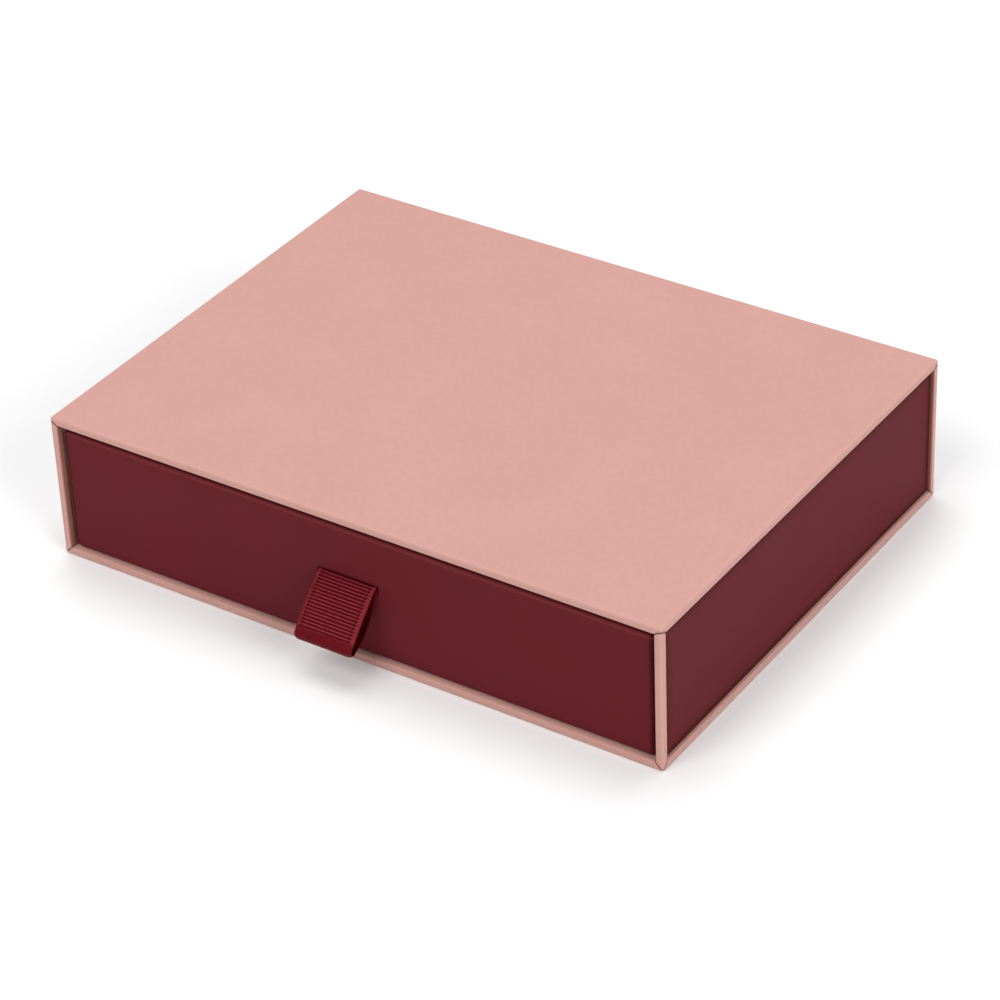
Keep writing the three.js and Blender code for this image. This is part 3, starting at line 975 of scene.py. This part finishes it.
def loop_path():
    """The loop from the slot's mouth out along its lower leg, round the fold and back on its upper leg."""
    along = Vector((math.cos(LOOP_TILT), -math.sin(LOOP_TILT)))
    across = Vector((-along.y, along.x))
    fold = Vector((LOOP_REACH, -LOOP_DROP)) - along * FOLD_RADIUS
    upper = fold + across * FOLD_RADIUS
    lower = fold - across * FOLD_RADIUS
    lower_mouth = Vector((0, -LEG_SPACING / 2))
    path = bezier([lower_mouth, Vector(BELLY), Vector(RISE), lower], LEG_STEPS)
    for step in range(1, FOLD_STEPS + 1):
        turn = math.pi * step / FOLD_STEPS
        path.append(fold + (along * math.sin(turn) - across * math.cos(turn)) * FOLD_RADIUS)
    upper_mouth = Vector((0, LEG_SPACING / 2))
    crest = upper_mouth + Vector((CREST_REACH, CREST_RISE))
    path += bezier([upper, upper - along * CREST_ARRIVAL, crest, upper_mouth], LEG_STEPS)
    return path


def weave_height(along, across, fold_distance):
    """The weave's height from 0 to 1: ribs across the ribbon, a bead at each rib's end and a plain edge."""
    edge = RIBBON_WIDTH / 2 - abs(across)
    wave = abs(math.sin(math.pi * along / RIB_PITCH))
    rib = wave ** RIB_POWER
    bead = wave ** BEAD_POWER
    stitch_line = 1 - STITCH_DEPTH_SHARE * math.exp(-((edge - STITCH_INSET) / STITCH_WIDTH) ** 2)
    ribs = smooth_step(edge, STITCH_INSET - STITCH_WIDTH, STITCH_INSET + STITCH_WIDTH)
    beads = smooth_step(edge, BEAD_INSET - STITCH_WIDTH, BEAD_INSET + STITCH_WIDTH) * (1 - ribs)
    picots = (1 - smooth_step(edge, 0, PICOT_WIDTH)) * PICOT_SHARE
    height = (ribs * rib + beads * bead + (1 - ribs - beads) * PLAIN_EDGE_HEIGHT) * stitch_line
    height *= 1 - picots * (1 - bead)
    woven = smooth_step(fold_distance, PLAIN_BAND, RIBBED_BAND)
    return height * woven + FOLD_HEIGHT * (1 - woven)


def half_thickness(along, across, side, height):
    """How far the ribbon's face on one side lies from its middle, less in grooves and at round edges."""
    rounding = min(1, (RIBBON_WIDTH / 2 - abs(across)) / EDGE_ROUNDING)
    fullness = EDGE_THICKNESS_SHARE + (1 - EDGE_THICKNESS_SHARE) * math.sqrt(1 - (1 - rounding) ** 2)
    core = RIBBON_THICKNESS / 2 - RIB_DEPTH
    wander = noise.noise(Vector((across * WANDER_ACROSS, along * WANDER_ALONG, side))) * WANDER_DEPTH
    return (core + RIB_DEPTH * height) * fullness + wander


def edge_curl(across, outwards):
    """How far the ribbon's edges bend towards the inside of the loop, outside the slot."""
    edge = RIBBON_WIDTH / 2 - abs(across)
    bend = max(0, 1 - edge / CURL_WIDTH) ** CURL_POWER
    return EDGE_CURL * bend * smooth_step(outwards, CURL_START, CURL_END)


def ribbon_columns():
    """Where a row across the ribbon has its points, from one edge to the other."""
    half = RIBBON_WIDTH / 2
    columns = [inset - half for inset in BORDER_INSETS]
    columns += [half * share for share in MIDDLE_SHARES]
    columns += [half - inset for inset in reversed(BORDER_INSETS)]
    return columns


def ribbon_points(points, columns):
    """The ribbon's points and how high the weave is at each. Every place on its path has a row on the side
    of the loop's inside, and then one on the other side."""
    reach = max(point.x for _, point in points)
    fold_at = next(along for along, point in points if point.x == reach)
    vertices = []
    heights = []
    for number, (along, point) in enumerate(points):
        before = points[max(0, number - 1)][1]
        after = points[min(len(points) - 1, number + 1)][1]
        tangent = (after - before).normalized()
        normal = Vector((-tangent.y, tangent.x))
        for side in (1, -1):
            for across in columns:
                height = weave_height(along, across, abs(along - fold_at))
                if side > 0:
                    height = INSIDE_HEIGHT + (height - INSIDE_HEIGHT) * INSIDE_RELIEF_SHARE
                lift = side * half_thickness(along, across, side, height) + edge_curl(across, point.x)
                spot = point + normal * lift
                vertices.append(Vector((across, DRAWER_LOW.y - spot.x, SLOT_CENTRE + spot.y)))
                heights.append(height)
    return vertices, heights


def strip_faces(length, width):
    """The faces of a closed strip: its two sides, its two long edges and its two ends."""

    def number_of(row, side, column):
        return (row * 2 + side) * width + column

    faces = []
    last = length - 1
    for row in range(last):
        for column in range(width - 1):
            for side in (0, 1):
                faces.append([
                    number_of(row, side, column), number_of(row, side, column + 1),
                    number_of(row + 1, side, column + 1), number_of(row + 1, side, column),
                ])
        for column in (0, width - 1):
            faces.append([
                number_of(row, 0, column), number_of(row + 1, 0, column),
                number_of(row + 1, 1, column), number_of(row, 1, column),
            ])
    for row in (0, last):
        for column in range(width - 1):
            faces.append([
                number_of(row, 0, column), number_of(row, 0, column + 1),
                number_of(row, 1, column + 1), number_of(row, 1, column),
            ])
    return faces


def weave_ribbon():
    """One strip from the end of one tail, out and back through the slot, to the end of the other tail."""
    lower_tail = tail_path(-LEG_SPACING / 2, 0)
    upper_tail = tail_path(LEG_SPACING / 2, 1)
    path = lower_tail + loop_path() + upper_tail[-2::-1]
    points = resampled(path, RIB_PITCH / POINTS_PER_RIB)
    columns = ribbon_columns()
    vertices, heights = ribbon_points(points, columns)
    ribbon = mesh_object("ribbon_pull", vertices, strip_faces(len(points), len(columns)), GROSGRAIN)
    add_point_values(ribbon, "rib_height", heights)
    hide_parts("ribbon_pull_loop", "ribbon_lower_tail", "ribbon_upper_tail")
    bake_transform(ribbon)


def dress_cad_nodes():
    """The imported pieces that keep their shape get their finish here."""
    finishes = {"board": GREYBOARD, "post": GREYBOARD, "stay": KRAFT}
    for name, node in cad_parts.items():
        kind = name.rsplit("_", 1)[1]
        finish = finishes.get(kind)
        if kind == "lining":
            finish = BURGUNDY if name.startswith("drawer") else PINK
        if finish is not None:
            for material_slot in node.material_slots:
                material_slot.material = finish


# The stage

def make_floor():
    """A wide white floor, just under the box."""
    corners = [(-1, -1), (1, -1), (1, 1), (-1, 1)]
    points = [(FLOOR_HALF * x, FLOOR_HALF * y, 0) for x, y in corners]
    mesh = bpy.data.meshes.new("floor")
    mesh.from_pydata(points, [], [(0, 1, 2, 3)])
    mesh.materials.append(floor_material())
    floor = bpy.data.objects.new("floor", mesh)
    floor.location.z = -FLOOR_GAP
    bpy.context.scene.collection.objects.link(floor)


def aimed(place, target, roll=0):
    """The matrix of a camera or light at a place that looks at a target."""
    look = (Vector(target) - Vector(place)).normalized()
    turned = look.to_track_quat("-Z", "Y").to_matrix().to_4x4()
    return Matrix.Translation(Vector(place)) @ turned @ Matrix.Rotation(roll, 4, "Z")


def add_light(name, place, width, strength):
    """A soft light from one side, which falls on the whole floor alike."""
    light = bpy.data.lights.new(name, "SUN")
    light.angle = width
    light.energy = strength
    lamp = bpy.data.objects.new(name, light)
    lamp.matrix_world = aimed(place, (0, 0, 0))
    bpy.context.scene.collection.objects.link(lamp)


def light_scene():
    """A white room with three wide soft lights."""
    world = bpy.data.worlds.new("room")
    world.use_nodes = True
    background = world.node_tree.nodes["Background"]
    background.inputs["Color"].default_value = (1, 1, 1, 1)
    background.inputs["Strength"].default_value = WORLD_STRENGTH
    bpy.context.scene.world = world
    for name, (place, width, strength) in LIGHTS.items():
        add_light(name, place, width, strength)
    view = bpy.context.scene.view_settings
    view.view_transform = "Standard"
    view.look = "None"
    view.exposure = 0
    view.gamma = 1


def place_camera():
    """The photograph's viewpoint, found from the box's corners in it."""
    camera = bpy.data.cameras.new("camera")
    camera.sensor_width = CAMERA_SENSOR
    camera.lens = CAMERA_LENS
    viewer = bpy.data.objects.new("camera", camera)
    bpy.context.scene.collection.objects.link(viewer)
    viewer.matrix_world = aimed(CAMERA_PLACE, CAMERA_TARGET, CAMERA_ROLL)
    bpy.context.scene.camera = viewer


dress_cad_nodes()
wrap_board("sleeve_top_wrap", "sleeve_top_paper", False)
wrap_board("sleeve_bottom_wrap", "sleeve_bottom_paper", True)
wrap_post("front_left", -1, -1)
wrap_post("front_right", 1, -1)
wrap_post("rear_left", -1, 1)
wrap_post("rear_right", 1, 1)
wrap_wall("right", 0)
wrap_wall("back", 1)
wrap_wall("left", 2)
wrap_drawer()
line_drawer()
weave_ribbon()
make_floor()
light_scene()
place_camera()
